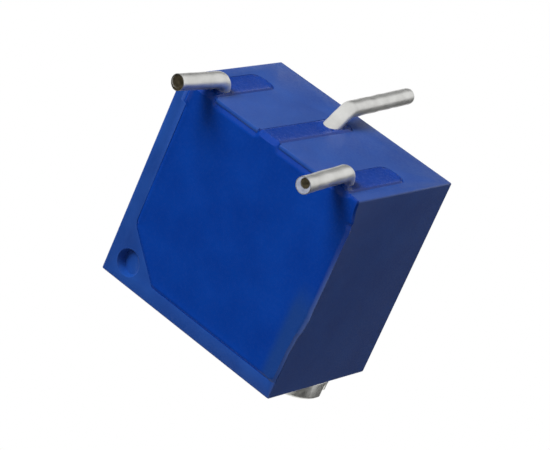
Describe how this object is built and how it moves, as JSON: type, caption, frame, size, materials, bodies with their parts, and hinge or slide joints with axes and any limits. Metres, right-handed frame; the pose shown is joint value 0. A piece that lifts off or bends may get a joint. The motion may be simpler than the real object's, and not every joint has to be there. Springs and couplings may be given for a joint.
{
  "type": "multiturn trimmer potentiometer",
  "caption": "Sealed square multiturn trimmer potentiometer with a slotted side screw, potted face, three bent round leads, and a worm-driven rotor and wiper inside.",
  "frame": {"origin": "on the ground, below the middle of the outer size, leads included", "axes": "+X along the row of leads, with the screw on the -X side; +Y from the potted face to the plain rear face; +Z from the lead face to the screw head"},
  "size_m": [0.0068, 0.0088, 0.0078],
  "materials": {
    "blue_thermoplastic": "moulded, satin",
    "blue_epoxy": "cured, slightly glossy",
    "nickel_plate": "nickel-plated brass",
    "silicone_rubber": "matte",
    "spring_steel": "plain",
    "white_nylon": "moulded",
    "contact_alloy": "bright",
    "alumina": "fired ceramic, matte and opaque",
    "cermet": "printed and fired, opaque",
    "silver_conductor": "printed and fired",
    "solder": "satin",
    "tinned_copper": "tinned"
  },
  "bodies": {
    "case": {"housing": "blue_thermoplastic", "potting": "blue_epoxy", "retaining_clip": "spring_steel", "substrate": "alumina", "resistive_track": "cermet", "collector_track": "silver_conductor", "end_conductor_left": "silver_conductor", "end_conductor_right": "silver_conductor", "pad_left": "silver_conductor", "pad_middle": "silver_conductor", "pad_right": "silver_conductor", "solder_left": "solder", "solder_middle": "solder", "solder_right": "solder", "lead_left": "tinned_copper", "lead_middle": "tinned_copper", "lead_right": "tinned_copper"},
    "screw": {"adjusting_screw": "nickel_plate", "o_ring": "silicone_rubber"},
    "rotor": {"worm_wheel": "white_nylon", "wiper": "contact_alloy"}
  },
  "joints": [
    {"name": "screw_turn", "type": "hinge", "parent": "case", "child": "screw", "pos_m": [-0.00219, 0.0001, 0.00404], "axis": [0, 0, 1], "range_deg": [-2160, 2160]},
    {"name": "rotor_turn", "type": "hinge", "parent": "case", "child": "rotor", "pos_m": [0, 0.0001, 0.00404], "axis": [0, 1, 0], "range_deg": [-135, 135]}
  ],
  "couplings": [
    {"joint": "rotor_turn", "follows": "screw_turn", "ratio": -0.0625}
  ]
}
